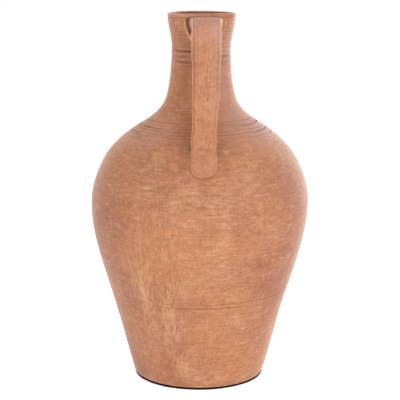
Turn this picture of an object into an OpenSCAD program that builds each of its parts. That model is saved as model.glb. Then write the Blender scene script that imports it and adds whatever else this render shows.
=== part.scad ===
// Two-handled terracotta amphora with a rolled lip, an incised shoulder and a glued base pad.
// The vessel is thrown in four sections that meet on bird's-mouth seams.
// Two strap handles are luted to the collar and to the shoulder, each with a clay wad round both ends.
// Origin: centre of the rest face, under the base pad. +Z is up. The front handle points to -Y.

/* [Vessel] */
// Height from the rest face to the crest of the lip
vessel_h = 480; // [440:5:520]
// Diameter across the widest part of the belly
belly_d = 286; // [270:2:300]
// Diameter of the clay foot
foot_d = 172; // [150:2:190]
// Outer diameter of the neck at its narrowest
neck_d = 76.4; // [72:0.4:84]
// Outer diameter of the collar under the lip
collar_d = 87.4; // [84:0.2:94]
// Thickness of the thrown wall
wall_t = 7; // [6:0.5:8]
// Thickness of the floor
floor_t = 11; // [8:1:14]

/* [Lip] */
// Radius of the crest of the rolled lip
lip_crest_r = 40; // [39:0.5:41]
// Width of the rolled lip
lip_w = 9; // [8:0.5:10]
// Height of the rolled lip
lip_h = 4; // [3:0.5:5]

/* [Incised rings] */
// Width of an incised ring
ring_w = 2.4; // [1.6:0.2:3]
// Depth of an incised ring
ring_depth = 0.9; // [0.4:0.1:1.2]

/* [Seams] */
// Height of the ridge on the upper edge of a section
tongue_h = 3; // [2:0.5:4]

/* [Handles] */
// Width of the strap where it leaves the collar
strap_top_w = 36.5; // [32:0.5:40]
// Width of the strap at its waist, above the foot
strap_waist_w = 30; // [26:0.5:32]
// Width of the foot that is pressed on the shoulder
strap_foot_w = 32; // [30:0.5:36]
// Thickness of the strap
strap_t = 11; // [9:0.5:12]
// Distance from the vessel's axis to the middle of the upper bend
bend_u = 65; // [62:1:68]
// Radius of the upper bend, at the middle of the strap
bend_r = 21; // [18:1:23]
// Lean of the strap away from the vertical, in degrees
strap_lean = 11; // [10:0.5:12]
// Sideways distance from the vessel's axis to the middle plane of a handle
handle_shift = 4.5; // [0:0.5:6]

/* [Base pad] */
// Thickness of the pad
pad_t = 3; // [2:0.5:3]
// Distance from the edge of the clay foot to the edge of the pad
pad_inset = 0.5; // [0.5:0.5:6]

/* [Hidden] */

clay = [0.80, 0.54, 0.40];
dark_clay = [0.72, 0.47, 0.35];
pale_clay = [0.86, 0.62, 0.48];
felt = [0.06, 0.06, 0.06];

$fn = 96;

// Outline of the outer wall: stations of [height, radius, slope], joined by smooth cubic curves.
belly_r = belly_d / 2;
neck_r = neck_d / 2;
collar_r = collar_d / 2;
slope_unit = belly_r / vessel_h;
lip_base_z = vessel_h - lip_h;
STATIONS = [
    [pad_t, foot_d / 2, slope_unit],
    [0.229 * vessel_h, 0.807 * belly_r, slope_unit],
    [0.490 * vessel_h, belly_r, 0],
    [0.604 * vessel_h, 0.890 * belly_r, -1.75 * slope_unit],
    [0.705 * vessel_h, 0.528 * belly_r, -5.60 * slope_unit],
    [0.780 * vessel_h, neck_r + 0.04 * belly_r, -0.86 * slope_unit],
    [0.908 * vessel_h, neck_r, 0],
    [lip_base_z, collar_r, 0]
];
curve_step = 4;

// Heights of the seams between the thrown sections
belly_seam_z = 0.256 * vessel_h;
neck_seam_z = 0.711 * vessel_h;
collar_seam_z = 0.9535 * vessel_h;

// Heights of the incised rings, each as [height, share of the full ring depth]
RINGS = [
    [0.690 * vessel_h, 1], [0.7045 * vessel_h, 1], [0.717 * vessel_h, 1],
    [0.870 * vessel_h, 1], [0.886 * vessel_h, 1], [0.902 * vessel_h, 1],
    [0.944 * vessel_h, 0.6]
];

// Share of a ring's width that the plain points keep clear of its middle
ring_clear = 0.8;

foot_chamfer = 1.2;
pad_chamfer = 0.6;
cove_r = 12;
// Height left between the cove and the first point of the inner wall
cove_gap = 1;
// Height left between the collar and the lip's own section
lip_gap = 0.5;
// Steps in a quarter circle, and in the half circle of the lip
arc_steps = 6;
lip_arc_steps = 10;

function hermite(t, a, b, run) =
    (2 * pow(t, 3) - 3 * pow(t, 2) + 1) * a[1]
    + (pow(t, 3) - 2 * pow(t, 2) + t) * run * a[2]
    + (3 * pow(t, 2) - 2 * pow(t, 3)) * b[1]
    + (pow(t, 3) - pow(t, 2)) * run * b[2];

// Number of the curve that holds a height
function curve_of(z, i = 0) =
    i >= len(STATIONS) - 2 || z < STATIONS[i + 1][0] ? i : curve_of(z, i + 1);

// Radius of the plain outer wall, before the rings
function wall_r(z) =
    let (i = curve_of(z), a = STATIONS[i], b = STATIONS[i + 1], run = b[0] - a[0])
    hermite((z - a[0]) / run, a, b, run);

function slope_at(z) = (wall_r(z + 0.5) - wall_r(z - 0.5));

// Radius of the inner wall, one wall thickness in, measured square to the surface
function inner_r(z) = wall_r(z) - wall_t * sqrt(1 + pow(slope_at(z), 2));

// Middle of the wall, where the ridge of a seam stands
function middle_r(z) = (wall_r(z) + inner_r(z)) / 2;

function heights(low, high, step) =
    let (n = max(2, round(abs(high - low) / step)))
    [for (i = [0 : n]) low + (high - low) * i / n];

// Three points of one incised ring, or none if it lies outside the span
function ring_points(ring, low, high) =
    ring[0] - ring_w < low || ring[0] + ring_w > high ? [] :
    [
        [wall_r(ring[0] - ring_w / 2), ring[0] - ring_w / 2],
        [wall_r(ring[0]) - ring_depth * ring[1], ring[0]],
        [wall_r(ring[0] + ring_w / 2), ring[0] + ring_w / 2]
    ];

function is_clear_of_rings(z) =
    len([for (ring = RINGS) if (abs(z - ring[0]) < ring_w * ring_clear) 1]) == 0;

// Plain outer points between two heights, without those that fall in a ring
function plain_points(low, high) =
    [for (z = heights(low, high, curve_step))
        if (z == low || z == high || is_clear_of_rings(z)) [wall_r(z), z]];

function sort_by_z(points) =
    len(points) <= 1 ? points :
    let (
        pivot = points[floor(len(points) / 2)][1],
        below = [for (p = points) if (p[1] < pivot) p],
        level = [for (p = points) if (p[1] == pivot) p],
        above = [for (p = points) if (p[1] > pivot) p]
    )
    concat(sort_by_z(below), level, sort_by_z(above));

// Outer points between two heights, rings included, from low to high
function outer_points(low, high) =
    sort_by_z(concat(plain_points(low, high), [for (ring = RINGS) each ring_points(ring, low, high)]));

// Inner points between two heights, from high to low
function inner_points(low, high) =
    [for (z = heights(high, low, curve_step)) [inner_r(z), z]];

// Rounded corner between the floor and the inner wall
floor_z = pad_t + floor_t;
function cove_points() =
    let (centre = [inner_r(floor_z + cove_r) - cove_r, floor_z + cove_r])
    [for (i = [0 : arc_steps]) centre + cove_r * [cos(-90 * i / arc_steps), sin(-90 * i / arc_steps)]];

// Half-round section of the lip, from its outer edge over the crest to its inner edge
function lip_points() =
    [for (i = [0 : lip_arc_steps]) let (a = 180 * i / lip_arc_steps)
        [lip_crest_r + lip_w / 2 * cos(a), lip_base_z + lip_h * sin(a)]];

// A thrown section between two seams, with a groove below and a ridge above
module thrown_section(low, high) {
    outline = concat(
        outer_points(low, high),
        [[middle_r(high), high + tongue_h]],
        inner_points(low, high),
        [[middle_r(low), low + tongue_h]]
    );
    rotate_extrude() polygon(outline);
}

module base_pad() {
    edge = foot_d / 2 - pad_inset;
    color(felt)
    rotate_extrude()
    polygon([
        [0, 0], [edge - pad_chamfer, 0], [edge, pad_chamfer],
        [edge, pad_t - pad_chamfer], [edge - pad_chamfer, pad_t], [0, pad_t]
    ]);
}

module lower_body() {
    chamfer_top = pad_t + foot_chamfer;
    outline = concat(
        [[0, pad_t], [foot_d / 2 - foot_chamfer, pad_t]],
        outer_points(chamfer_top, belly_seam_z),
        [[middle_r(belly_seam_z), belly_seam_z + tongue_h]],
        inner_points(floor_z + cove_r + cove_gap, belly_seam_z),
        cove_points(),
        [[0, floor_z]]
    );
    color(clay) rotate_extrude() polygon(outline);
}

module belly_body() color(clay) thrown_section(belly_seam_z, neck_seam_z);

module neck() color(dark_clay) thrown_section(neck_seam_z, collar_seam_z);

module rim_collar() {
    outline = concat(
        outer_points(collar_seam_z, lip_base_z - lip_gap),
        lip_points(),
        [[inner_r(lip_base_z - 2 * lip_gap), lip_base_z - 2 * lip_gap]],
        inner_points(collar_seam_z, lip_base_z - curve_step),
        [[middle_r(collar_seam_z), collar_seam_z + tongue_h]]
    );
    color(clay) rotate_extrude() polygon(outline);
}

// Space that the closed vessel fills, used to fit the handles and wads against the wall
module vessel_space() {
    rotate_extrude()
    polygon(concat([[0, pad_t]], outer_points(pad_t, lip_base_z), [[0, lip_base_z]]));
}

// Middle line of the strap seen from the side, as [distance from the axis, height].
// It leaves the collar level, bends down, leans outwards and lies down along the shoulder.
root_z = lip_base_z - strap_t / 2;
bend_centre = [bend_u, root_z - bend_r];
waist_z = 0.677 * vessel_h;
shoulder_lean = 31;
foot_bend_r = 50;
foot_tip_z = 0.594 * vessel_h;
toe_t = 1.5;

function along(lean) = [sin(lean), -cos(lean)];
bend_end = bend_centre + bend_r * [cos(strap_lean), sin(strap_lean)];
waist = bend_end + along(strap_lean) * (bend_end[1] - waist_z) / cos(strap_lean);
function foot_bend_point(lean) =
    waist + foot_bend_r * [cos(strap_lean) - cos(lean), sin(strap_lean) - sin(lean)];
foot_bend_end = foot_bend_point(shoulder_lean);
foot_tip = foot_bend_end + along(shoulder_lean) * (foot_bend_end[1] - foot_tip_z) / cos(shoulder_lean);

// The line as [point, lean, distance to the outer face], where a lean of 90 degrees is level
STRAP_LINE = concat(
    [[[neck_r - wall_t / 2, root_z], 90, strap_t / 2]],
    [for (i = [0 : 8]) let (a = 90 + (strap_lean - 90) * i / 8)
        [bend_centre + bend_r * [cos(a), sin(a)], a, strap_t / 2]],
    [[waist, strap_lean, strap_t / 2]],
    [for (i = [1 : 4]) let (a = strap_lean + (shoulder_lean - strap_lean) * i / 4)
        [foot_bend_point(a), a, strap_t / 2]],
    [[foot_tip, shoulder_lean, toe_t]]
);

// Point beside the line, at a distance towards its outer face
function beside(station, distance) = station[0] + distance * [cos(station[1]), sin(station[1])];

module strap_side() {
    last = len(STRAP_LINE) - 1;
    polygon(concat(
        [for (s = STRAP_LINE) beside(s, s[2])],
        [for (i = [last : -1 : 0]) beside(STRAP_LINE[i], -strap_t / 2)]
    ));
}

// The strap seen from the front: it narrows to its waist, widens to its foot and ends in a rounded toe.
// The rim is added to its outline all round.
toe_r = 11;
toe_z = 0.601 * vessel_h;
module strap_front(rim = 0) {
    toe_x = strap_foot_w / 2 - toe_r;
    half = concat(
        [[strap_top_w / 2 + rim, vessel_h], [strap_top_w / 2 + rim, bend_centre[1]]],
        [[strap_waist_w / 2 + rim, waist_z]],
        [for (i = [0 : arc_steps]) let (a = 90 * i / arc_steps)
            [toe_x, toe_z + toe_r] + (toe_r + rim) * [cos(a), -sin(a)]]
    );
    polygon(concat(half, [for (i = [len(half) - 1 : -1 : 0]) [-half[i][0], half[i][1]]]));
}

// The strap's solid before it is fitted to the wall, pointing to -Y.
// It starts a little wider than the strap, and the front outline trims it.
blank_spare = 2;
module strap_blank() {
    intersection() {
        translate([handle_shift, 0, 0])
        rotate([90, 0, -90])
        linear_extrude(height = strap_top_w + blank_spare, center = true)
        strap_side();
        strap_slot();
    }
}

// Everything behind and in front of the strap's outline, on the -Y side
module strap_slot(rim = 0) {
    translate([handle_shift, 0, 0])
    rotate([90, 0, 0])
    linear_extrude(height = belly_d)
    strap_front(rim);
}

module strap_handle() {
    difference() {
        strap_blank();
        vessel_space();
    }
}

// A flared bank of clay, broad and low, whose axis is +Z. It is widest at its base.
// Its section is a cove that rises from the wall to the strap.
flare_steps = 5;
module flare(half_length, base_r, top_r, rise, depth) {
    cove = concat(
        [[0, -depth], [base_r, -depth], [base_r, 0]],
        [for (i = [1 : flare_steps]) let (a = 90 * i / flare_steps)
            [top_r + (base_r - top_r) * (1 - sin(a)), rise * (1 - cos(a))]],
        [[0, rise]]
    );
    for (side = [-1, 1]) {
        translate([side * half_length, 0, 0])
        rotate([0, 0, side < 0 ? 90 : -90])
        rotate_extrude(angle = 180)
        polygon(cove);
    }
    rotate([90, 0, 90])
    linear_extrude(height = 2 * half_length, center = true)
    polygon(concat(cove, [for (i = [len(cove) - 1 : -1 : 0]) [-cove[i][0], cove[i][1]]]));
}

// Clay smeared from the collar onto the root of the strap, below the lip
root_flare_h = 9;
root_flare_depth = 14;
root_flare_r = 14;
root_flare_z = 0.963 * vessel_h;
// How far the flare reaches beyond each edge of the strap, at its base and at its top
root_flare_base_w = 8;
root_flare_top_w = 2;
// How far the flare's base sits inside the collar's surface
root_flare_sink = 0.5;
module root_wad() {
    half_length = strap_top_w / 2 + root_flare_base_w - root_flare_r;
    top_r = strap_t / 2 + root_flare_top_w;
    difference() {
        translate([handle_shift, root_flare_sink - collar_r, root_flare_z])
        rotate([90, 0, 0])
        flare(half_length, root_flare_r, top_r, root_flare_h, root_flare_depth);
        strap_blank();
        vessel_space();
        translate([0, 0, lip_base_z]) cylinder(h = vessel_h, r = belly_d);
    }
}

// Rim of clay left round the foot where it was pressed on the shoulder
foot_rim_w = 2.5;
foot_rim_t = 2.5;
foot_rim_top_z = 0.655 * vessel_h;
foot_rim_low_z = 0.58 * vessel_h;
module foot_wad() {
    layer = [for (p = plain_points(foot_rim_low_z, foot_rim_top_z)) [p[0] + foot_rim_t, p[1]]];
    difference() {
        intersection() {
            strap_slot(foot_rim_w);
            rotate_extrude() polygon(concat([[0, foot_rim_low_z]], layer, [[0, foot_rim_top_z]]));
        }
        strap_blank();
        vessel_space();
    }
}

// Turns a front piece round to the rear
module at_rear() rotate([0, 0, 180]) children();

module front_handle() color(clay) strap_handle();
module front_root_wad() color(pale_clay) root_wad();
module front_foot_wad() color(pale_clay) foot_wad();
module rear_handle() color(clay) at_rear() strap_handle();
module rear_root_wad() color(pale_clay) at_rear() root_wad();
module rear_foot_wad() color(pale_clay) at_rear() foot_wad();

base_pad();
lower_body();
belly_body();
neck();
rim_collar();
front_handle();
front_root_wad();
front_foot_wad();
rear_handle();
rear_root_wad();
rear_foot_wad();
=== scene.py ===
"""Looks of a two-handled terracotta amphora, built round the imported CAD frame.

Every clay piece is one closed mesh. The thrown sections follow the same outline as the CAD sections, and add
what a hand-made vessel has: throwing lines, incised rings, a soft wobble and a slight lean.
Lengths are in metres, written as millimetres times MM. Angles go round the axis from the front handle, which
points to -Y, towards +X.
"""
import math

import bmesh
import bpy
import numpy as np
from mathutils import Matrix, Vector


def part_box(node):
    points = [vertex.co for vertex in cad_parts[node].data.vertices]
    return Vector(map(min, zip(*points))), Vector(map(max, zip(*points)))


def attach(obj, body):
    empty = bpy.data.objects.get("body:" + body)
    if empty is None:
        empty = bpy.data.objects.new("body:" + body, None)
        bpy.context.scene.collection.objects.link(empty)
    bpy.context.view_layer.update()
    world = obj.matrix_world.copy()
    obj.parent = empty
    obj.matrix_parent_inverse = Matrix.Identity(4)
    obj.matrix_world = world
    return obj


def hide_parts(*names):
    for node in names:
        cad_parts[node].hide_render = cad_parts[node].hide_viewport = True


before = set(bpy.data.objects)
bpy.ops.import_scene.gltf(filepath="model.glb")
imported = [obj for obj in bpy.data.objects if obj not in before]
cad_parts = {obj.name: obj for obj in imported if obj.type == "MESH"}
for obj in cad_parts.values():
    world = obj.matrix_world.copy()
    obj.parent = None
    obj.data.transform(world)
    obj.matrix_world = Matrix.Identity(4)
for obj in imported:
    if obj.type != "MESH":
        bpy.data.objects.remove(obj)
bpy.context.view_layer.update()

MM = 0.001

# ---------------------------------------------------------------- sizes

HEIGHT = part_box("rim_collar")[1].z
PAD_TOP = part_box("base_pad")[1].z
PAD_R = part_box("base_pad")[1].x
BELLY_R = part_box("belly_body")[1].x
LIP_OUTER_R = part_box("rim_collar")[1].x
BELLY_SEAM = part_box("belly_body")[0].z
NECK_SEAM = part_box("neck")[0].z
COLLAR_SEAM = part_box("rim_collar")[0].z
RIDGE_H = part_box("lower_body")[1].z - BELLY_SEAM

WALL_T = 7 * MM
FLOOR_T = 11 * MM
FOOT_R = PAD_R + 0.5 * MM
FOOT_EDGE_R = 1.4 * MM
UNDER_INSET = 8 * MM
COVE_R = 12 * MM
NECK_R = 38.2 * MM

# The rolled lip. LIP_SQUARE below 1 makes it squarer than round. The plain wall goes up to OUTER_TOP on the
# outside and to INNER_TOP on the inside
LIP_H = 4 * MM
LIP_W = 9 * MM
LIP_CREST_R = LIP_OUTER_R - LIP_W / 2
LIP_BASE = HEIGHT - LIP_H
LIP_SQUARE = 0.8
LIP_INSET = 0.3 * MM
LIP_DROP = 0.2 * MM
LIP_WANDER = 0.15 * MM
OUTER_TOP = LIP_BASE - 0.3 * MM
INNER_TOP = LIP_BASE - 2 * MM
COLLAR_R = LIP_OUTER_R - 0.8 * MM

# How far the mouth has drifted sideways, and where the drift starts
LEAN = 3.7 * MM
LEAN_FROM = 0.2 * HEIGHT

# Outline of the outer wall: stations of height, radius and slope, joined by smooth cubic curves
SLOPE_UNIT = BELLY_R / HEIGHT
STATIONS = np.array([
    (PAD_TOP, FOOT_R, SLOPE_UNIT),
    (0.229 * HEIGHT, 0.807 * BELLY_R, SLOPE_UNIT),
    (0.490 * HEIGHT, BELLY_R, 0),
    (0.604 * HEIGHT, 0.890 * BELLY_R, -1.75 * SLOPE_UNIT),
    (0.705 * HEIGHT, 0.528 * BELLY_R, -5.60 * SLOPE_UNIT),
    (0.780 * HEIGHT, NECK_R + 0.04 * BELLY_R, -0.86 * SLOPE_UNIT),
    (0.908 * HEIGHT, NECK_R, 0),
    (LIP_BASE, COLLAR_R, 0),
])

# Incised rings as (share of the height, depth, half width, tilt towards +X)
RINGS = [
    (0.2560, 0.35 * MM, 0.9 * MM, 0.3 * MM),
    (0.6760, 0.30 * MM, 0.8 * MM, 0.5 * MM),
    (0.6830, 0.45 * MM, 0.8 * MM, -0.4 * MM),
    (0.6900, 0.85 * MM, 1.0 * MM, 1.2 * MM),
    (0.6975, 0.50 * MM, 0.8 * MM, 0.8 * MM),
    (0.7045, 0.90 * MM, 1.0 * MM, 1.8 * MM),
    (0.7110, 0.30 * MM, 0.7 * MM, 0.4 * MM),
    (0.7170, 0.80 * MM, 1.0 * MM, 1.2 * MM),
    (0.7260, 0.30 * MM, 0.8 * MM, -0.6 * MM),
    (0.7360, 0.20 * MM, 0.8 * MM, 0.5 * MM),
    (0.8590, 0.15 * MM, 0.8 * MM, 0.0 * MM),
    (0.8720, 0.90 * MM, 1.3 * MM, 0.3 * MM),
    (0.8860, 0.80 * MM, 1.4 * MM, 0.5 * MM),
    (0.9010, 0.85 * MM, 1.5 * MM, 0.3 * MM),
    (0.9440, 0.40 * MM, 0.8 * MM, 0.4 * MM),
    (0.9525, 0.60 * MM, 0.9 * MM, 0.2 * MM),
    (0.9895, 0.30 * MM, 0.6 * MM, 0.0 * MM),
]

# Placed marks as (angle in degrees, share of the height, half angle, half height in mm, strength)
MARKS = [
    (-28, 0.565, 5, 0.7, 1.0),
    (4, 0.245, 26, 0.9, -0.8),
    (24, 0.205, 9, 0.6, 0.9),
    (22, 0.217, 10, 0.6, 0.8),
    (2, 0.190, 8, 0.7, 0.9),
    (10, 0.535, 7, 26, 0.45),
    (9, 0.410, 6, 34, 0.40),
    (0, 0.530, 8, 24, 0.35),
    (9, 0.500, 6, 16, 0.40),
    (50, 0.200, 14, 60, -0.10),
    (-14, 0.520, 4, 14, 0.55),
    (-6, 0.555, 9, 16, 0.50),
    (-26, 0.500, 9, 6, 0.40),
    (24, 0.550, 8, 16, 0.40),
    (-30, 0.600, 10, 32, 0.45),
    (-33, 0.250, 5, 44, 0.80),
    (-20, 0.190, 5, 46, 0.80),
    (-13, 0.300, 7, 14, 0.60),
    (-30, 0.380, 5, 26, 0.30),
    (-38, 0.300, 5, 26, 0.50),
    (-8, 0.080, 6, 22, 0.60),
    (-14, 0.060, 7, 14, 0.60),
    (-12, 0.200, 6, 24, 0.40),
    (30, 0.620, 7, 18, 0.35),
    (20, 0.330, 14, 5, 0.30),
    # Painted shade: the left flank darkened, where less light falls
    (-56, 0.480, 14, 70, -0.12),
    # Painted shade on the shoulder either side of the strap, in this line and the next
    (-18, 0.678, 7, 18, -0.40),
    (23, 0.672, 6, 18, -0.35),
    (-16, 0.600, 5, 8, -0.25),
    (6, 0.490, 4, 16, -0.35),
    (34, 0.360, 9, 7, -0.25),
    # Painted shade either side of the strap's foot, in this line and the next
    (-10, 0.648, 3.5, 22, -0.40),
    (13, 0.650, 3.5, 18, -0.35),
    # Painted shadow of the strap on the left of the neck, in this line and the next
    (-38, 0.830, 20, 34, -0.16),
    (-34, 0.830, 10, 44, -0.16),
    (-32, 0.930, 12, 14, -0.20),
    (140, 0.400, 16, 50, 0.50),
    (-150, 0.550, 12, 40, 0.45),
    (95, 0.300, 10, 60, 0.45),
    (-100, 0.350, 12, 50, 0.40),
    (170, 0.180, 14, 30, -0.20),
]

# Places that were wiped up and down instead of round, in the same terms
WIPES = [
    (-30, 0.250, 22, 110, 1.0),
    (-24, 0.420, 12, 50, 0.6),
    (100, 0.280, 20, 90, 0.8),
    (-140, 0.300, 24, 100, 0.9),
    (165, 0.480, 14, 70, 0.6),
]

# Places with a film of pale dust, and on the right from 28 to 68 degrees painted pale light, in the same
# terms
DUST_AND_LIGHT_PATCHES = [
    (62, 0.820, 46, 50, 0.55),
    (44, 0.700, 26, 26, 0.30),
    (-62, 0.900, 30, 40, 0.20),
    (60, 0.950, 40, 16, 0.25),
    (68, 0.620, 24, 60, 0.20),
    (28, 0.570, 16, 26, 0.15),
    (-42, 0.690, 16, 26, 0.22),
    (180, 0.800, 60, 60, 0.35),
    (-120, 0.680, 30, 40, 0.30),
]

# Where the rings were pressed harder or lighter than elsewhere, in the same terms
RING_ACCENTS = [
    (68, 0.705, 20, 18, 0.8),
    (24, 0.705, 18, 18, -0.45),
    (-20, 0.705, 18, 18, -0.35),
    (-62, 0.705, 16, 18, 0.2),
    (-34, 0.901, 16, 4, 0.5),
    (-80, 0.885, 24, 22, -0.6),
    (55, 0.879, 22, 7, 0.5),
    (55, 0.901, 22, 4, -0.5),
]

# Points round the vessel, and steps between the mesh rows of the wall, of the rings and of the inside
AROUND = 360
ROW_STEP = 1.4 * MM
FINE_ROW_STEP = 0.45 * MM
INNER_STEP = 8 * MM

# Heights looked at to place the rows, and how many half widths round a ring the rows are fine
ROW_SAMPLES = 4000
FINE_REACH = 4

# Heights of the throwing lines and of the wobble, outside, inside and on the lip
THROWING_H = 0.07 * MM
WOBBLE_H = 0.35 * MM
INNER_WOBBLE_H = 0.5 * MM
LIP_WOBBLE_H = 0.3 * MM

# A ring's burrs: their share of its depth, and their place in half widths from its middle
BURR_SHARE = 0.24
BURR_PLACE = 1.9
RING_WANDER = 0.2 * MM

# The burr's height and the groove's depth that take the full tone, and that tone
# Dark grooves are painted shade and pale burrs painted highlights
PALE_BURR = 0.25 * MM
DARK_GROOVE = 0.8 * MM
RING_TONE = 0.9

# Edges that turn by more than this stay crisp
SHARP_ANGLE = math.radians(50)

# Tone of the inside, darkened as painted shade, and of the rounded foot edge, paled as a painted highlight,
# from 1 for pale to -1 for dark
INSIDE_SHADE_TONE = -0.7
FOOT_EDGE_HIGHLIGHT_TONE = 0.5

rng = np.random.default_rng(11)


# ---------------------------------------------------------------- curves

def smooth(t):
    """A soft step from 0 to 1."""
    t = np.clip(t, 0, 1)
    return t * t * (3 - 2 * t)


def fade_in(place, start, length):
    """0 up to the start, and 1 from a length beyond it."""
    return smooth((place - start) / length)


def fade_out(place, end, length):
    """1 until a length before the end, and 0 from the end."""
    return smooth((end - place) / length)


def hump(place, centre, width, power=2):
    """1 at the centre, falling to nothing a few widths away. A power of 4 gives a flatter top."""
    return np.exp(-(((place - centre) / width) ** power))


def arc(first, last, count):
    """Angles from first to last, given in degrees."""
    return np.radians(np.linspace(first, last, count))


def placed(marks, z, angle):
    """Sum of soft patches on the wall."""
    total = 0
    for degrees, share, half_angle, half_height, strength in marks:
        turn = (angle - math.radians(degrees) + math.pi) % (2 * math.pi) - math.pi
        sideways = turn / math.radians(half_angle)
        upright = (z - share * HEIGHT) / (half_height * MM)
        total = total + strength * np.exp(-(sideways**4) - upright**4)
    return total


# ---------------------------------------------------------------- the wall's shape

def plain_radius(z):
    """Radius of the smooth outer wall at a height."""
    z = np.asarray(z, float)
    i = np.clip(np.searchsorted(STATIONS[:, 0], z, side="right") - 1, 0, len(STATIONS) - 2)
    z0, r0, m0 = np.moveaxis(STATIONS[i], -1, 0)
    z1, r1, m1 = np.moveaxis(STATIONS[i + 1], -1, 0)
    run = z1 - z0
    t = (z - z0) / run
    return (
        (2 * t**3 - 3 * t**2 + 1) * r0
        + (t**3 - 2 * t**2 + t) * run * m0
        + (3 * t**2 - 2 * t**3) * r1
        + (t**3 - t**2) * run * m1
    )


def slope(z):
    """Change of radius with height."""
    half = 0.5 * MM
    return (plain_radius(z + half) - plain_radius(z - half)) / (2 * half)


def wall_normal(z):
    """Outward normal of the smooth wall, as (outward, upward)."""
    m = slope(z)
    size = np.sqrt(1 + m**2)
    return 1 / size, -m / size


def inner_radius(z):
    """Radius of the inner wall, WALL_T away from the outer one along its normal."""
    return plain_radius(z) - WALL_T * np.sqrt(1 + slope(z) ** 2)


def waves(count, shortest, longest, most_turns):
    """Random smooth waves over height and angle, each as (height frequency, turns, phase, size)."""
    length = shortest * (longest / shortest) ** rng.random(count)
    turns = rng.integers(-most_turns, most_turns + 1, count)
    phase = rng.random(count) * 2 * math.pi
    return list(zip(2 * math.pi / length, turns, phase, np.sqrt(length / longest)))


THROWING_WAVES = waves(26, 3.2 * MM, 22 * MM, 1)
WOBBLE_WAVES = waves(9, 90 * MM, 260 * MM, 4)


def wave_sum(terms, z, angle):
    """Sum of waves, of about unit size however many there are."""
    total = sum(size * np.sin(k * z + m * angle + phase) for k, m, phase, size in terms)
    return total / math.sqrt(len(terms))


def ring_relief(z, angle):
    """Incised rings: a groove with a low burr on each side."""
    total = 0
    accent = 1 + placed(RING_ACCENTS, z, angle)
    for n, (share, depth, half_width, tilt) in enumerate(RINGS):
        wander = tilt * np.sin(angle) + RING_WANDER * np.sin(3 * angle + n)
        fade = 0.78 + 0.22 * np.sin(2 * angle + 2.1 * n) + 0.22 * np.sin(7 * angle + 1.7 * n)
        across = (z - share * HEIGHT - wander) * np.sqrt(1 + slope(z) ** 2) / half_width
        groove = np.exp(-(across**2))
        burr = np.exp(-((np.abs(across) - BURR_PLACE) ** 2) * 2)
        total = total + accent * fade * depth * (BURR_SHARE * burr - groove)
    return total


def relief(z, angle):
    """Height of the finished surface above the smooth wall."""
    return (
        THROWING_H * wave_sum(THROWING_WAVES, z, angle)
        + WOBBLE_H * wave_sum(WOBBLE_WAVES, z, angle)
        + ring_relief(z, angle)
    )


def lean(z):
    """Sideways drift of the vessel's axis at a height."""
    return LEAN * np.clip((z - LEAN_FROM) / (HEIGHT - LEAN_FROM), 0, 1)


def row_heights(low, high):
    """Heights of the mesh rows: an even step along the wall, and a finer one at the rings."""
    z = np.linspace(low, high, ROW_SAMPLES)
    along = np.sqrt(1 + slope(z) ** 2)
    rows_per_metre = np.full_like(z, 1 / ROW_STEP)
    for share, _, half_width, _ in RINGS:
        near = np.exp(-(((z - share * HEIGHT) * along / (FINE_REACH * half_width)) ** 2))
        rows_per_metre += near * (1 / FINE_ROW_STEP - 1 / ROW_STEP)
    count = np.concatenate([[0], np.cumsum((rows_per_metre * along)[1:] * np.diff(z))])
    wanted = np.linspace(0, count[-1], math.ceil(count[-1]) + 1)
    return np.interp(wanted, count, z)


# ---------------------------------------------------------------- mesh helpers

def loft(name, rings, cap_first=False, cap_last=False, joined=False, marks=None):
    """A mesh through closed rings of points. rings is (rows, points in a ring, 3)."""
    rows, count, _ = rings.shape
    verts = rings.reshape(-1, 3).tolist()
    faces = []
    for a in range(rows if joined else rows - 1):
        b = (a + 1) % rows
        for i in range(count):
            j = (i + 1) % count
            faces.append((a * count + i, a * count + j, b * count + j, b * count + i))
    for wanted, row in ((cap_first, 0), (cap_last, rows - 1)):
        if wanted:
            verts.append(rings[row].mean(0).tolist())
            hub = len(verts) - 1
            faces += [(row * count + i, row * count + (i + 1) % count, hub) for i in range(count)]
    mesh = bpy.data.meshes.new(name)
    mesh.from_pydata(verts, [], faces)
    for mark, values in (marks or {}).items():
        layer = mesh.attributes.new(mark, "FLOAT", "POINT")
        full = np.zeros(len(verts), np.float32)
        full[: rows * count] = values.reshape(-1)
        layer.data.foreach_set("value", full)
    face_outwards(mesh)
    mesh.polygons.foreach_set("use_smooth", [True] * len(mesh.polygons))
    mesh.set_sharp_from_angle(angle=SHARP_ANGLE)
    piece = bpy.data.objects.new(name, mesh)
    bpy.context.collection.objects.link(piece)
    return piece


def face_outwards(mesh):
    """Turns every face of a closed mesh outwards."""
    work = bmesh.new()
    work.from_mesh(mesh)
    bmesh.ops.recalc_face_normals(work, faces=work.faces)
    work.to_mesh(mesh)
    work.free()


def finish_piece(piece, material, slot, *nodes):
    """Gives a piece its material, hides the CAD nodes it stands for, and hangs it under the root body."""
    piece.data.materials.append(material)
    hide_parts(*nodes)
    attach(piece, "root")


# ---------------------------------------------------------------- thrown sections

ANGLES = np.arange(AROUND) * 2 * math.pi / AROUND


def turned(radius, z):
    """Points of rings round the leaning axis, with one ring for each row of z."""
    radius, z = np.broadcast_arrays(radius + 0 * ANGLES, z)
    x = radius * np.sin(ANGLES) + lean(z)
    y = -radius * np.cos(ANGLES)
    return np.stack([x, y, z], -1)


def level_ring(radius, z):
    """One ring at a height, or at heights that wander round it."""
    return turned(radius, np.atleast_2d(z))


def outer_rows(z):
    """Rings of the outer wall, from a column of heights."""
    out, up = wall_normal(z)
    height = relief(z, ANGLES)
    return turned(plain_radius(z) + height * out, z + height * up)


def inner_rows(low, high):
    """Rings of the inner wall, from high to low."""
    count = max(2, round((high - low) / INNER_STEP))
    z = np.linspace(high, low, count + 1)[:, None]
    return turned(inner_radius(z) + INNER_WOBBLE_H * wave_sum(WOBBLE_WAVES, z, ANGLES), z)


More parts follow.
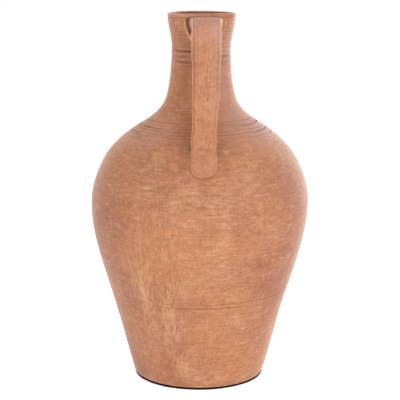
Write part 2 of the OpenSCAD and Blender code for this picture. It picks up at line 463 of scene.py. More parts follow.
def seam_ring(z):
    """The ridge in the middle of the wall at a seam."""
    return level_ring((plain_radius(z) + inner_radius(z)) / 2, z + RIDGE_H)


def paleness(z, angle):
    """Paler above 0, darker below: ring grooves as painted shade, burrs as painted highlights, and the marks.
    """
    rings = ring_relief(z, angle)
    tint = np.where(rings > 0, rings / PALE_BURR, rings / DARK_GROOVE)
    return RING_TONE * np.clip(tint, -1, 1) + placed(MARKS, z, angle)


def framed(values, before, after, first=0.0, last=0.0):
    """Values of some rings, with rings of a single value before and after them."""
    count = values.shape[1]
    return np.concatenate([np.full((before, count), first), values, np.full((after, count), last)])


# Inside rows take the inside's painted shade unless a section asks otherwise
def wall_marks(z, before, after, edge_tone=0.0, inner_tone=INSIDE_SHADE_TONE):
    """Marks of a section: rings under its foot, its outer rows at the heights z, and the rings inside."""
    return {
        "pale": framed(paleness(z, ANGLES), before, after, edge_tone, inner_tone),
        "wiped": framed(placed(WIPES, z, ANGLES), before, after),
        "dust_and_painted_light": framed(placed(DUST_AND_LIGHT_PATCHES, z, ANGLES), before, after),
    }


def thrown_section(name, low, high):
    """The belly or the neck, between two seams."""
    z = row_heights(low, high)[:, None]
    rings = np.concatenate([outer_rows(z), seam_ring(high), inner_rows(low, high), seam_ring(low)])
    return loft(name, rings, joined=True, marks=wall_marks(z, 0, len(rings) - len(z)))


def foot_edge(height):
    """Rings of the rounded foot edge. height is that of the wall's lowest row above the smooth wall."""
    return [
        level_ring(
            FOOT_R - FOOT_EDGE_R * (1 - math.sin(t)) + height,
            PAD_TOP + FOOT_EDGE_R * (1 - math.cos(t)),
        )
        for t in arc(10, 80, 6)
    ]


def floor_cove(floor_z):
    """Rings of the rounded corner between the inner wall and the floor."""
    centre_r = inner_radius(floor_z + COVE_R) - COVE_R
    return [
        level_ring(centre_r + COVE_R * math.cos(t), floor_z + COVE_R * (1 - math.sin(t)))
        for t in arc(8, 90, 8)
    ]


def lower_section(name, high):
    """The lower body, with its rounded foot edge and its floor."""
    z = row_heights(PAD_TOP + FOOT_EDGE_R, high)[:, None]
    floor_z = PAD_TOP + FLOOR_T
    under = [level_ring(FOOT_R - UNDER_INSET, PAD_TOP)] + foot_edge(relief(z[0], ANGLES))
    inside = [seam_ring(high), inner_rows(floor_z + COVE_R, high)] + floor_cove(floor_z)
    rings = np.concatenate(under + [outer_rows(z)] + inside)
    after = len(rings) - len(under) - len(z)
    # The rounded foot edge gets a painted highlight, and the inside here keeps its own tone
    marks = wall_marks(z, len(under), after, FOOT_EDGE_HIGHLIGHT_TONE, inner_tone=0.0)
    return loft(name, rings, cap_first=True, cap_last=True, marks=marks)


# Rings of the lip, and how many of them, from outside to just past its crest, take painted light and shade
LIP_RINGS = 19
TONED_LIP_RINGS = 12


def lip_rings():
    """Rings of the rolled lip, from outside over the top to inside."""
    wobble = LIP_WOBBLE_H * wave_sum(WOBBLE_WAVES, LIP_BASE, ANGLES)
    rings = []
    for t in arc(-5, 180, LIP_RINGS):
        across = math.copysign(abs(math.cos(t)) ** LIP_SQUARE, math.cos(t))
        upright = math.copysign(abs(math.sin(t)) ** LIP_SQUARE, math.sin(t))
        z = LIP_BASE + LIP_H * upright - LIP_DROP + LIP_WANDER * np.sin(2 * ANGLES + 0.6)
        rings.append(level_ring(LIP_CREST_R - LIP_INSET + LIP_W / 2 * across + wobble, z))
    return rings


def rim_section(name, low):
    """The collar with its rolled lip."""
    z = row_heights(low, OUTER_TOP)[:, None]
    inside = [inner_rows(low, INNER_TOP), seam_ring(low)]
    rings = np.concatenate([outer_rows(z)] + lip_rings() + inside)
    marks = wall_marks(z, 0, len(rings) - len(z))
    crest_rows = slice(len(z), len(z) + TONED_LIP_RINGS)
    # Painted light on the crest: a painted highlight and pale paint on the left, painted shade in the middle
    # and on the right
    left = smooth(0.2 - 0.8 * np.sin(ANGLES - 0.2))
    marks["pale"][crest_rows] = 0.6 * left - 0.25
    marks["dust_and_painted_light"][crest_rows] = 0.6 * left
    return loft(name, rings, joined=True, marks=marks)


# ---------------------------------------------------------------- handles

STRAP_T = 11 * MM
ROOT_Z = LIP_BASE - STRAP_T / 2
ROOT_U = COLLAR_R - 5 * MM
BEND_R = 21 * MM
BEND_U = 65 * MM
STRAP_LEAN = math.radians(11)
FOOT_LEAN = math.radians(31)
FOOT_BEND_R = 50 * MM
WAIST_Z = 0.677 * HEIGHT
TOE_Z = 0.594 * HEIGHT
STRAP_STEP = 1.5 * MM

# The pressed foot of the strap: how long its rounded toe is, and how square
TOE_LEN = 15 * MM
TOE_POWER = 2.3

# The channel between the raised edges, and the crown of the strap
CHANNEL_DEPTH = 0.7 * MM
CROWN_H = 0.5 * MM

# Places across the strap, from 0 in the middle to 1 at the edge, and along it, from its root or from its toe
RIDGE_PLACE = 0.955
GUTTER_PLACE = 0.86
# The next place ends the painted shade on the top of the strap's root
TOP_SHADE_END = 38 * MM
SCUFF_PLACE = 105 * MM
CREASE_FROM_TOE = 37 * MM

# How far the strap's brush marks run along it, from 0 for not at all to 1, and the rear strap's own pull
STRAP_WIPED = 0.65
REAR_DRAG_TURN = 2.4

# Middle and half width of the strap, at heights of the vessel
STRAP_HEIGHTS = np.array([0.594, 0.63, 0.69, 0.74, 0.81, 0.84, 0.94, 1.0]) * HEIGHT
STRAP_MIDDLES = np.array([3.3, 4.3, 3.9, 5.0, 6.0, 6.3, 6.0, 6.0]) * MM
STRAP_HALF_WIDTHS = np.array([16.6, 16.2, 15.1, 15.7, 16.7, 17.4, 18.3, 18.6]) * MM


def strap_line():
    """The strap's middle line: run along it, distance from the axis, height and lean, each as a column."""
    level = BEND_U - ROOT_U
    bend = BEND_R * (math.pi / 2 - STRAP_LEAN)
    bend_end_z = ROOT_Z - BEND_R + BEND_R * math.sin(STRAP_LEAN)
    straight = (bend_end_z - WAIST_Z) / math.cos(STRAP_LEAN)
    foot_bend = FOOT_BEND_R * (FOOT_LEAN - STRAP_LEAN)
    foot_bend_drop = FOOT_BEND_R * (math.sin(FOOT_LEAN) - math.sin(STRAP_LEAN))
    foot = (WAIST_Z - foot_bend_drop - TOE_Z) / math.cos(FOOT_LEAN)
    total = level + bend + straight + foot_bend + foot
    s = np.linspace(0, total, round(total / STRAP_STEP))
    angle = (
        math.pi / 2
        - (math.pi / 2 - STRAP_LEAN) * smooth((s - level) / bend)
        + (FOOT_LEAN - STRAP_LEAN) * smooth((s - level - bend - straight) / foot_bend)
    )
    middle = (angle[1:] + angle[:-1]) / 2
    step = np.diff(s)
    u = ROOT_U + np.concatenate([[0], np.cumsum(np.sin(middle) * step)])
    z = ROOT_Z - np.concatenate([[0], np.cumsum(np.cos(middle) * step)])
    return [values[:, None] for values in (s, u, z, angle)]


def strap_section():
    """Outline of the strap: across from -1 to 1, and its outer or inner height from -1 to 1."""
    t = np.linspace(-1, 1, 41)
    x = np.sin(t * math.pi / 2)
    outer = (1 - np.abs(x) ** 7) ** (1 / 7)
    inner = (1 - np.abs(x) ** 3.5) ** (1 / 3.5)
    across = np.concatenate([x, x[-2:0:-1]])
    upright = np.concatenate([outer, -inner[-2:0:-1]])
    return across, upright


def side_of(points, front):
    """Handle points (sideways, distance from the axis, height) placed on the front or the rear."""
    turn = 1 if front else -1
    x = turn * points[..., 0] + lean(points[..., 2])
    return np.stack([x, -turn * points[..., 1], points[..., 2]], -1)


def channel_share(s, to_toe):
    """How deep the channel is along the strap, as a share of its full depth."""
    return fade_in(s, 0, 45 * MM) * fade_in(to_toe, 12 * MM, 40 * MM)


def strap_shape(s, u, z, angle, drag_turn):
    """Points of the strap's rings. drag_turn shifts the uneven pull, so that two straps differ."""
    across, upright = strap_section()
    edge = np.abs(across)
    to_toe = s[-1] - s
    toe = np.clip(1 - to_toe / TOE_LEN, 0, 1)
    rounding = (1 - toe**TOE_POWER) ** (1 / TOE_POWER)
    drag = 0.25 * MM * np.sin(s / (9 * MM) + drag_turn) + 0.2 * MM * np.sin(s / (4.1 * MM) + 1)
    half_w = (np.interp(z, STRAP_HEIGHTS, STRAP_HALF_WIDTHS) + drag) * rounding
    half_t = STRAP_T / 2 * (0.45 + 0.55 * smooth(to_toe / (26 * MM))) + 0.3 * drag
    channel = smooth((0.90 - edge) / 0.12) * (upright > 0.5)
    crown = CROWN_H * (1 - edge**2) * (upright > 0)
    lift = half_t * upright - CHANNEL_DEPTH * channel_share(s, to_toe) * channel + crown
    sideways = np.interp(z, STRAP_HEIGHTS, STRAP_MIDDLES) + half_w * across
    return np.stack([sideways, u + lift * np.cos(angle), z + lift * np.sin(angle)], -1)


def strap_tones(s):
    """Painted highlights on the edges, painted shade in the gutters, a foot crease and the root's top, and a
    scuffed middle.
    """
    across, upright = strap_section()
    edge = np.abs(across)
    outside = upright > 0.3
    to_toe = s[-1] - s
    # Painted highlight on the raised ridge and painted shade in the gutter, stronger on the left
    ridge = hump(edge, RIDGE_PLACE, 0.035) * outside
    gutter = np.where(across < 0, 1.0, 0.5) * hump(edge, GUTTER_PLACE, 0.04) * outside
    # Painted shade in a crease above the toe
    crease_place = (to_toe - CREASE_FROM_TOE) / (2.2 * MM) + 0.5 * np.sin(5 * across)
    crease = np.exp(-(crease_place**2)) * smooth(1.3 - 1.6 * edge) * outside
    # The painted edge highlight and gutter shade follow the channel's depth
    edge_tone_share = 0.15 + 0.85 * channel_share(s, to_toe)
    # Painted shade on the strap's upward-facing top near its root
    top_shade = fade_out(s, TOP_SHADE_END, 22 * MM) * (edge < 0.97)
    scuffed = 0.35 * hump(s, SCUFF_PLACE, 45 * MM, 4) * smooth(1.4 * (1 - edge))
    return (1.1 * ridge - gutter) * edge_tone_share + scuffed - 0.40 * crease - 1.1 * top_shade


def strap_pale_light(s):
    """Painted pale light on the upward bend, the right side and the up-tilted foot, and painted highlights on
    outer corners.
    """
    across, upright = strap_section()
    edge = np.abs(across)
    # Painted pale light where the bend and the foot face up, and on the right side
    on_bend = fade_out(s, 84 * MM, 50 * MM) * (0.35 + 0.65 * fade_in(s, 14 * MM, 20 * MM))
    on_foot = fade_out(s[-1] - s, 50 * MM, 40 * MM)
    on_side = smooth(across * 1.4) * fade_out(s, 190 * MM, 60 * MM)
    # Painted highlight along the outer corners
    corner = fade_in(edge, 0.93, 0.05) * smooth(upright / 0.4)
    corner_highlight = corner * (fade_out(s, 150 * MM, 90 * MM) * fade_in(s, 16 * MM, 16 * MM))
    return (0.6 * on_bend + 0.18 * on_foot + 0.3 * on_side) * fade_in(s, 8 * MM, 26 * MM) + 1.4 * corner_highlight


def strap_handle(name, front):
    """A pulled strap from the collar to the shoulder."""
    s, u, z, angle = strap_line()
    points = side_of(strap_shape(s, u, z, angle, drag_turn=0.0 if front else REAR_DRAG_TURN), front)
    pale = strap_tones(s)
    marks = {"pale": pale, "dust_and_painted_light": strap_pale_light(s), "wiped": np.full_like(pale, STRAP_WIPED)}
    return loft(name, points, cap_first=True, cap_last=True, marks=marks)


def on_wall(sideways, z, above):
    """Points above the wall, for a sideways place and a height. The normal lies in the vertical plane."""
    radius = plain_radius(z)
    out, up = wall_normal(z)
    u = np.sqrt(np.maximum(radius**2 - sideways**2, 0))
    return np.stack([sideways * (1 + above / radius), u + above * out, z + above * up], -1)


# Angles of the points of a wad's ring, and where its hidden underside lies below the wall
LOOP_POINTS = 72
LOOP = np.arange(LOOP_POINTS) * 2 * math.pi / LOOP_POINTS
SUNK = -1.5 * MM

# How far the root wad spreads from the strap's middle, and how far it reaches along the strap
WAD_LEFT = 28.8 * MM
WAD_RIGHT = 25.0 * MM
WAD_UP = 5.6 * MM
WAD_DOWN = 32.0 * MM
WAD_REACH = 13 * MM
ROOT_X = STRAP_MIDDLES[-1]

# The root wad's raised lip and the hollow behind it. Places go from 0 on the collar to 1 on the strap
WAD_LIP_H = 2.6 * MM
WAD_LIP_PLACE = 0.11
WAD_DIP = 1.5 * MM

# The foot wad: its middle, its ends, its half width and its height above the wall
FOOT_WAD_X = 4.0 * MM
FOOT_WAD_LOW = 0.5965 * HEIGHT
FOOT_WAD_HIGH = 0.672 * HEIGHT
FOOT_WAD_HALF_W = 17.6 * MM
FOOT_WAD_H = 1.8 * MM


def rounded_box(power):
    """A loop of points that fills a square of half width 1, with rounded corners."""
    c, s = np.cos(LOOP), np.sin(LOOP)
    return np.sign(c) * np.abs(c) ** (2 / power), np.sign(s) * np.abs(s) ** (2 / power)


def wad_outline():
    """The root wad's outline, squarer above the strap's root than below it."""
    low_x, low_z = rounded_box(2.2)
    high_x, high_z = rounded_box(3.6)
    return np.where(low_z > 0, high_x, low_x), np.where(low_z > 0, high_z, low_z)


def towards_root(x, z, share):
    """Places drawn in towards the strap's root, to a share of their distance."""
    return ROOT_X + share * (x - ROOT_X), ROOT_Z + share * (z - ROOT_Z)


def root_wad(name, front):
    """Clay smeared from the collar onto the root of the strap."""
    wall_x, wall_z = wad_outline()
    strap_x, strap_z = rounded_box(5)
    base_x = ROOT_X + np.where(wall_x < 0, WAD_LEFT, WAD_RIGHT) * wall_x
    base_z = ROOT_Z + np.where(wall_z > 0, WAD_UP, WAD_DOWN) * wall_z
    end_x = ROOT_X + (STRAP_HALF_WIDTHS[-1] - 0.4 * MM) * strap_x
    end_z = ROOT_Z + (STRAP_T / 2 - 0.3 * MM) * strap_z
    under = on_wall(*towards_root(base_x, base_z, np.array([0.1, 0.4, 0.7, 1.0])[:, None]), SUNK)

    t = np.linspace(0, 1, 26)[:, None]
    inward = np.sin(t * math.pi / 2)
    left_share = 0.45 + 0.55 * smooth(0.5 - wall_x)
    lip = WAD_LIP_H * hump(t, WAD_LIP_PLACE, 0.08) * left_share
    dip = WAD_DIP * hump(t, 0.32, 0.10)
    rough = 0.15 * MM * np.sin(5 * LOOP + 2)
    smear = on_wall(base_x + (end_x - base_x) * inward, base_z + (end_z - base_z) * inward, 0.0)
    smear[..., 1] += WAD_REACH * (1 - np.cos(t * math.pi / 2)) + lip - dip + rough
    inside = smear[-1:].copy()
    inside[..., 0], inside[..., 2] = towards_root(inside[..., 0], inside[..., 2], 0.8)

    # Painted highlight on the crest and painted shade in the hollow, both stronger on the left
    crest = hump(t, WAD_LIP_PLACE, 0.09, 4)
    hollow = hump(t, 0.34, 0.13, 4)
    beside_strap = smooth(1.6 * np.abs(wall_x) - 0.5) * smooth(0.8 - 1.2 * wall_z)
    pale = (left_share - 0.4) * 1.6 * (1.5 * crest - 1.3 * hollow)
    # Painted pale light on the side faces beside the strap and on the right
    dust_and_painted_light = (0.2 + left_share) * fade_in(t, 0.50, 0.12) * beside_strap + 0.6 * (1 - left_share)
    marks = {"pale": framed(pale, len(under), 1), "dust_and_painted_light": framed(dust_and_painted_light, len(under), 1)}
    points = side_of(np.concatenate([under, smear, inside]), front)
    return loft(name, points, cap_first=True, cap_last=True, marks=marks)


def foot_wad(name, front):
    """The rim of clay left round the foot where it was pressed on the shoulder."""
    box_x, box_z = rounded_box(2.8)
    centre_z = (FOOT_WAD_LOW + FOOT_WAD_HIGH) / 2
    half_z = (FOOT_WAD_HIGH - FOOT_WAD_LOW) / 2
    crown = np.sin(arc(88, 8, 12))
    share = np.concatenate([[0.5, 1.0], crown])[:, None]
    above = np.concatenate([[SUNK, SUNK], FOOT_WAD_H * (1 - crown**7) ** 0.5])[:, None]
    rough = 0.12 * MM * np.sin(7 * LOOP + 1) + 0.1 * MM * np.sin(11 * LOOP)
    x = FOOT_WAD_X + (FOOT_WAD_HALF_W + rough) * share * box_x
    z = centre_z + (half_z + rough) * share * box_z
    points = side_of(on_wall(x, z, above), front)
    return loft(name, points, cap_first=True, cap_last=True, marks={"pale": np.full(x.shape, 0.25)})


# Half outline of the pad, as shares of its radius and of its thickness
PAD_PROFILE = [
    (0.55, 0.0),
    (0.99, 0.0),
    (0.998, 0.1),
    (1.0, 0.3),
    (1.0, 0.7),
    (0.998, 0.9),
    (0.99, 1.0),
    (0.55, 1.0),
]


def base_pad(name):
    """A felt disc with a soft, slightly uneven edge."""
    edge = PAD_R + 0.15 * MM * np.sin(9 * ANGLES) + 0.1 * MM * np.sin(23 * ANGLES + 1)
    rings = [level_ring(edge * share, PAD_TOP * up) for share, up in PAD_PROFILE]
    return loft(name, np.concatenate(rings), cap_first=True, cap_last=True)


# ---------------------------------------------------------------- materials

class Shader:
    """Short calls that add nodes to a new material."""

    def __init__(self, name):
        self.material = bpy.data.materials.new(name)
        self.material.use_nodes = True
        self.tree = self.material.node_tree
        self.shader = self.tree.nodes["Principled BSDF"]
        self.place = self.add("ShaderNodeTexCoord").outputs["Object"]

    def add(self, kind, values=(), **settings):
        """A node, with values or links for its inputs, and settings for its properties."""
        node = self.tree.nodes.new(kind)
        for key, value in settings.items():
            setattr(node, key, value)
        for key, value in dict(values).items():
            self.put(node.inputs[key], value)
        return node

    def put(self, socket, value):
        """Links an output to a socket, or gives the socket a value."""
        if isinstance(value, bpy.types.NodeSocket):
            self.tree.links.new(value, socket)
        else:
            socket.default_value = value

    def math(self, operation, a, b=0.0, clamp=False):
        """A number worked out from a and b."""
        return self.add("ShaderNodeMath", {0: a, 1: b}, operation=operation, use_clamp=clamp).outputs[0]

    def times(self, a, b, clamp=False):
        return self.math("MULTIPLY", a, b, clamp)

    def stretch(self, x, y, z):
        """The object's coordinates times x, y and z. A small factor makes a pattern long on that axis."""
        return self.add("ShaderNodeMapping", {"Vector": self.place, "Scale": (x, y, z)}).outputs[0]

    def noise(self, place, scale, detail=3.0, rough=0.5, twist=0.0):
        """Noise with about as many features to the metre as its scale."""
        values = {"Vector": place, "Scale": scale, "Detail": detail, "Roughness": rough, "Distortion": twist}
        return self.add("ShaderNodeTexNoise", values).outputs["Fac"]

    def step(self, value, low, high, out_low=0.0, out_high=1.0):
        """A soft step from out_low to out_high, as the value goes from low to high."""
        values = {"Value": value, "From Min": low, "From Max": high, "To Min": out_low, "To Max": out_high}
        return self.add("ShaderNodeMapRange", values, interpolation_type="SMOOTHSTEP").outputs["Result"]

    def mixed(self, data_type, socket_type, share, a, b, **settings):
        """A Mix node. It has sockets of every type, so its own are picked out by theirs."""
        node = self.add("ShaderNodeMix", data_type=data_type, clamp_factor=True, **settings)
        self.put(node.inputs["Factor"], share)
        for name, value in (("A", a), ("B", b)):
            self.put(next(i for i in node.inputs if i.name == name and i.type == socket_type), value)
        return next(o for o in node.outputs if o.type == socket_type)

    def mix(self, share, a, b, blend="MIX"):
        """A colour between a and b."""
        return self.mixed("RGBA", "RGBA", share, a, b, blend_type=blend)

    def blend(self, share, a, b):
        """A number between a and b."""
        return self.mixed("FLOAT", "VALUE", share, a, b)

    def grey(self, value):
        """A grey from a number."""
        return self.add("ShaderNodeCombineColor", {0: value, 1: value, 2: value}).outputs[0]

    def attribute(self, name):
        """One of the meshes' marks, or 0 on a mesh without it."""
        return self.add("ShaderNodeAttribute", attribute_name=name).outputs["Fac"]

    def bump(self, height, distance, strength=1.0, under=None):
        """Relief on top of another relief, if there is one under it."""
        values = {"Height": height, "Distance": distance, "Strength": strength}
        if under is not None:
            values["Normal"] = under
        return self.add("ShaderNodeBump", values).outputs["Normal"]


def colour(red, green, blue):
    """A colour from its 0 to 255 screen values."""
    linear = [c / 255 / 12.92 if c <= 10 else ((c / 255 + 0.055) / 1.055) ** 2.4 for c in (red, green, blue)]
    return (*linear, 1.0)


ORANGE = colour(186, 124, 84)
BRICK = colour(170, 108, 78)
PINK = colour(180, 128, 106)
# Buff serves for scuffs and for painted highlights
BUFF_AND_HIGHLIGHT = colour(200, 152, 112)
# This pink serves for dust and for painted pale light
DUST_AND_PALE_LIGHT = colour(188, 142, 124)
# Umber serves for stains, scratches and pits, and for painted shade
UMBER_AND_SHADE = colour(112, 70, 52)
# Cream serves for scratches and for painted highlights
CREAM_AND_HIGHLIGHT = colour(210, 166, 134)
# A painted highlight on the strap's corners and beside the strap's root
PALE_HIGHLIGHT = colour(222, 190, 176)


class Clay(Shader):
    """A material with the noises that the clay's colour and relief share."""

    def __init__(self, name):
        super().__init__(name)
        self.large = self.noise(self.place, 10.0, 3.0)
        self.patches = self.noise(self.place, 42.0, 4.0, 0.6, 0.8)
        self.mottle = self.noise(self.place, 150.0, 4.0, 0.6)
        self.fleck = self.noise(self.place, 430.0, 3.0, 0.6)
        self.level = self.noise(self.stretch(0.05, 0.05, 1.0), 380.0, 4.0, 0.6)
        self.dashes = self.noise(self.stretch(0.25, 0.25, 1.0), 300.0, 5.0, 0.7, 0.3)
        strokes = self.noise(self.stretch(1.0, 1.0, 0.2), 300.0, 5.0, 0.7, 0.3)
        self.upright = self.noise(self.stretch(1.0, 1.0, 0.16), 105.0, 3.0, 0.55, 0.4)
        self.wiped = self.attribute("wiped")
        self.brushed = self.blend(self.math("MAXIMUM", self.wiped, 0.25), self.dashes, strokes)


def fired_body(s, buff_share, pink_share, line_share, grain_share):
    """The clay's own colour, with scuffed patches, turned lines and grain."""
    body = s.mix(s.step(s.large, 0.35, 0.65), BRICK, ORANGE)
    body = s.mix(s.times(s.step(s.patches, 0.45, 0.7), pink_share), body, PINK)
    pale_pattern = s.blend(s.wiped, s.dashes, s.upright)
    scuff = s.times(s.step(pale_pattern, 0.52, 0.70), s.step(s.patches, 0.40, 0.65))
    body = s.mix(s.times(scuff, 0.60 * buff_share, clamp=True), body, BUFF_AND_HIGHLIGHT)
    tone = s.step(s.level, 0.30, 0.70, 1 - 0.06 * line_share, 1 + 0.06 * line_share)
    grains = ((s.brushed, 0.16), (s.mottle, 0.10 * grain_share), (s.fleck, 0.10 * grain_share))
    for pattern, contrast in grains:
        tone = s.times(tone, s.step(pattern, 0.28, 0.72, 1 - contrast, 1 + contrast))
    return s.mix(1.0, body, s.grey(tone), "MULTIPLY")


def scratched(s, body, buff_share):
    """Scratches: where a stretched noise crosses its middle value, kept only in patches."""
    scratches = (
        (s.stretch(1.0, 1.0, 0.30), 60.0, CREAM_AND_HIGHLIGHT, 0.50 * buff_share),
        (s.stretch(0.2, 0.2, 1.0), 75.0, CREAM_AND_HIGHLIGHT, 0.50 * buff_share),
        (s.stretch(0.5, 0.5, 1.0), 48.0, UMBER_AND_SHADE, 0.35),
    )
    for turn, (place, scale, paint, share) in enumerate(scratches):
        thread = s.noise(place, scale, 2.0, 0.5, 0.6)
        off_line = s.math("ABSOLUTE", s.math("SUBTRACT", thread, 0.5))
        width = s.step(off_line, 0.0, 0.013, 1.0, 0.0)
        kept = s.step(s.noise(s.place, 26.0 + 9 * turn, 3.0, 0.6), 0.49, 0.59)
        scratch = s.times(s.times(width, kept), s.step(s.fleck, 0.40, 0.55))
        body = s.mix(s.times(scratch, share, clamp=True), body, paint)
    return body


def marked(s, body):
    """The meshes' own marks: scuffs, stains and a powdery film, and painted highlights, shade and pale light.
    """
    pale = s.attribute("pale")
    # Pale places: scuffs and painted highlights
    broken = s.step(s.brushed, 0.40, 0.60, 0.15, 1.25)
    pale_pattern = s.times(s.math("MAXIMUM", pale, 0.0), broken, clamp=True)
    body = s.mix(s.times(pale_pattern, 0.75), body, BUFF_AND_HIGHLIGHT)
    body = s.mix(s.step(pale, 0.9, 1.5, 0.0, 0.8), body, CREAM_AND_HIGHLIGHT)
    # Dark places: stains and painted shade
    darkened = s.times(s.math("MAXIMUM", s.times(pale, -1.0), 0.0), 0.7, clamp=True)
    body = s.mix(darkened, body, UMBER_AND_SHADE)
    # A powdery film and painted pale light
    dust_and_painted_light = s.attribute("dust_and_painted_light")
    dust_and_light_share = s.times(dust_and_painted_light, s.step(s.brushed, 0.30, 0.65, 0.6, 1.2), clamp=True)
    body = s.mix(dust_and_light_share, body, DUST_AND_PALE_LIGHT)
    return s.mix(s.step(dust_and_painted_light, 0.9, 1.6, 0.0, 0.8), body, PALE_HIGHLIGHT)


def pits(s):
    """1 in the small pits and 0 elsewhere. Only a few of the cells have one."""
    cells = s.add("ShaderNodeTexVoronoi", {"Vector": s.place, "Scale": 95.0}, feature="F1")
    lot = s.add("ShaderNodeSeparateColor", {0: cells.outputs["Color"]}).outputs[0]
    chosen = s.math("GREATER_THAN", lot, 0.93)
    return s.times(s.step(cells.outputs["Distance"], 0.04, 0.11, 1.0, 0.0), chosen)


def terracotta(name, buff_share=1.0, pink_share=0.5, line_share=1.0, grain_share=1.0, sheen=0.45):
    """Matte, wheel-turned, unglazed clay: brushed strokes, scuffs, scratches, pits, a powdery film and
    painted light.
    """
    s = Clay(name)
    body = fired_body(s, buff_share, pink_share, line_share, grain_share)
    body = marked(s, scratched(s, body, buff_share))
    pit = pits(s)
    body = s.mix(s.times(pit, 0.75), body, UMBER_AND_SHADE)

    s.put(s.shader.inputs["Base Color"], body)
    s.put(s.shader.inputs["Roughness"], s.step(s.mottle, 0.3, 0.7, 0.72, 0.90))
    s.put(s.shader.inputs["Specular IOR Level"], 0.35)
    s.put(s.shader.inputs["Sheen Weight"], sheen)
    s.put(s.shader.inputs["Sheen Roughness"], 0.38)
    s.put(s.shader.inputs["Sheen Tint"], (1.0, 0.93, 0.90, 1.0))

    normal = s.bump(s.level, 0.5 * MM, 0.18 * line_share)
    normal = s.bump(s.brushed, 0.8 * MM, 0.30, normal)
    normal = s.bump(s.mottle, 1.2 * MM, 0.20, normal)
    normal = s.bump(s.fleck, 0.5 * MM, 0.25, normal)
    normal = s.bump(s.times(pit, -1.0), 0.8 * MM, 0.8, normal)
    s.put(s.shader.inputs["Normal"], normal)
    return s.material


def felt(name):
    """Dense black felt: a matted pile with paler fibre ends."""
    s = Shader(name)
    matting = s.noise(s.place, 260.0, 4.0, 0.65)
    fibres = s.noise(s.stretch(1.0, 1.0, 0.3), 2600.0, 2.0, 0.6)
    body = s.mix(s.step(matting, 0.35, 0.7), colour(10, 9, 8), colour(22, 19, 17))
    body = s.mix(s.step(fibres, 0.6, 0.8, 0.0, 0.3), body, colour(40, 34, 30))
    s.put(s.shader.inputs["Base Color"], body)
    s.put(s.shader.inputs["Roughness"], s.step(fibres, 0.3, 0.7, 0.85, 1.0))
    s.put(s.shader.inputs["Specular IOR Level"], 0.1)
    normal = s.bump(fibres, 0.3 * MM, 0.7)
    s.put(s.shader.inputs["Normal"], s.bump(matting, 0.6 * MM, 0.4, normal))
    return s.material


# ---------------------------------------------------------------- build

def build():
    """Every piece of the vessel, with its material, in place of the CAD node it stands for."""
    body_clay = terracotta("terracotta_body")
    handle_clay = terracotta("terracotta_handle", buff_share=0.7, line_share=0.3, grain_share=1.1, sheen=0.15)
    wad_clay = terracotta("terracotta_wad", buff_share=0.8, pink_share=0.8, line_share=0.0, sheen=0.25)

    finish_piece(base_pad("pad_felt"), felt("black_felt"), "pad", "base_pad")
    finish_piece(lower_section("lower_wall", BELLY_SEAM), body_clay, "body_clay", "lower_body")
    finish_piece(thrown_section("belly_wall", BELLY_SEAM, NECK_SEAM), body_clay, "body_clay", "belly_body")
    finish_piece(thrown_section("neck_wall", NECK_SEAM, COLLAR_SEAM), body_clay, "body_clay", "neck")
    finish_piece(rim_section("collar_and_lip", COLLAR_SEAM), body_clay, "body_clay", "rim_collar")
    for side, front in (("front", True), ("rear", False)):
        finish_piece(strap_handle(f"{side}_strap", front), handle_clay, "handle_clay", f"{side}_handle")
        finish_piece(root_wad(f"{side}_root_clay", front), wad_clay, "wad_clay", f"{side}_root_wad")
        finish_piece(foot_wad(f"{side}_foot_clay", front), wad_clay, "wad_clay", f"{side}_foot_wad")


# ---------------------------------------------------------------- studio

FLOOR_HALF = 120 * HEIGHT

# The floor glows a little, so that it reads as white paper that fades into the backdrop
FLOOR_WHITE = {
    "Base Color": (0.6, 0.6, 0.6, 1),
    "Roughness": 0.9,
    "Specular IOR Level": 0.0,
    "Emission Color": (1, 1, 1, 1),
    "Emission Strength": 0.7,
}

# Strength of the white surroundings as a light on the vessel, and as the backdrop that the camera sees
AMBIENT = 0.5
BACKDROP = 1.0

# Soft boxes as (name, place, width, height, power), with places and sizes in vessel heights
SOFTBOXES = [
    ("front_left", (-1.7, -2.6, 2.2), 1.3, 1.3, 3.8),
    ("front_right_low", (1.6, -3.2, 0.5), 1.4, 1.4, 8.4),
    ("front_top", (0.4, -1.6, 3.0), 1.0, 1.0, 3.0),
    ("overhead", (0.0, -0.3, 3.3), 2.2, 2.2, 2.4),
    ("right_edge", (1.9, 2.4, 1.0), 1.0, 2.6, 15.0),
    ("left_edge", (-1.5, 2.8, 1.1), 0.8, 2.6, 3.2),
    ("back_top", (0.0, 2.4, 2.4), 2.4, 1.0, 2.9),
]

# What the lights are aimed at
AIM = Vector((0, 0, 0.55 * HEIGHT))

# The camera is in front of the vessel, with a long lens, and looks down by LOOK_DOWN degrees
CAMERA_PLACE = (1.6 * MM, -3.40 * HEIGHT, 1.157 * HEIGHT)
LOOK_DOWN = 11.15
SENSOR = 36.0
LENS_IN_SENSORS = 3.14
SIGHT = 100 * HEIGHT


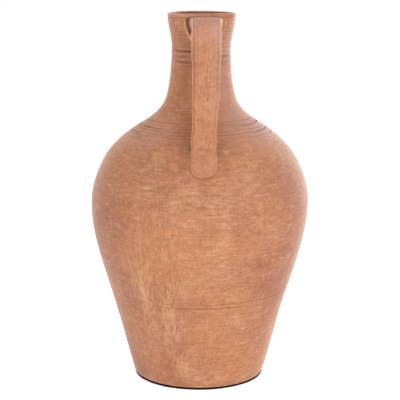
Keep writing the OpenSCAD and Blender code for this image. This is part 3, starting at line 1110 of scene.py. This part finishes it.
def floor():
    """A plain white ground, wider than the camera can see."""
    low, high = -FLOOR_HALF, FLOOR_HALF
    corners = [(low, low, 0), (high, low, 0), (high, high, 0), (low, high, 0)]
    mesh = bpy.data.meshes.new("studio_floor")
    mesh.from_pydata(corners, [], [(0, 1, 2, 3)])
    plane = bpy.data.objects.new("studio_floor", mesh)
    bpy.context.collection.objects.link(plane)
    material = bpy.data.materials.new("studio_white")
    material.use_nodes = True
    shader = material.node_tree.nodes["Principled BSDF"]
    for name, value in FLOOR_WHITE.items():
        shader.inputs[name].default_value = value
    plane.data.materials.append(material)


def softbox(name, place, width, height, power):
    """A rectangular light aimed at the upper half of the vessel."""
    light = bpy.data.lights.new(name, "AREA")
    light.shape = "RECTANGLE"
    light.size = width * HEIGHT
    light.size_y = height * HEIGHT
    light.energy = power
    lamp = bpy.data.objects.new(name, light)
    lamp.location = Vector(place) * HEIGHT
    lamp.rotation_euler = (AIM - lamp.location).to_track_quat("-Z", "Y").to_euler()
    bpy.context.collection.objects.link(lamp)


def surroundings():
    """White on every side, brighter as a backdrop than as a light."""
    world = bpy.data.worlds.new("studio_world")
    world.use_nodes = True
    nodes = world.node_tree.nodes
    seen = nodes.new("ShaderNodeLightPath").outputs["Is Camera Ray"]
    strength = nodes.new("ShaderNodeMapRange")
    strength.inputs["To Min"].default_value = AMBIENT
    strength.inputs["To Max"].default_value = BACKDROP
    world.node_tree.links.new(seen, strength.inputs["Value"])
    world.node_tree.links.new(strength.outputs["Result"], nodes["Background"].inputs["Strength"])
    nodes["Background"].inputs["Color"].default_value = (1, 1, 1, 1)
    bpy.context.scene.world = world


def studio():
    """The floor, the surroundings, the lights and a plain view transform."""
    floor()
    surroundings()
    for box in SOFTBOXES:
        softbox(*box)
    bpy.context.scene.view_settings.view_transform = "Standard"


def camera():
    """A long lens a little above the rim, looking down on the vessel from the front."""
    data = bpy.data.cameras.new("camera")
    data.sensor_width = SENSOR
    data.lens = SENSOR * LENS_IN_SENSORS
    data.clip_end = SIGHT
    viewpoint = bpy.data.objects.new("camera", data)
    viewpoint.location = CAMERA_PLACE
    viewpoint.rotation_euler = (math.radians(90 - LOOK_DOWN), 0, 0)
    bpy.context.collection.objects.link(viewpoint)
    bpy.context.scene.camera = viewpoint


build()
studio()
camera()
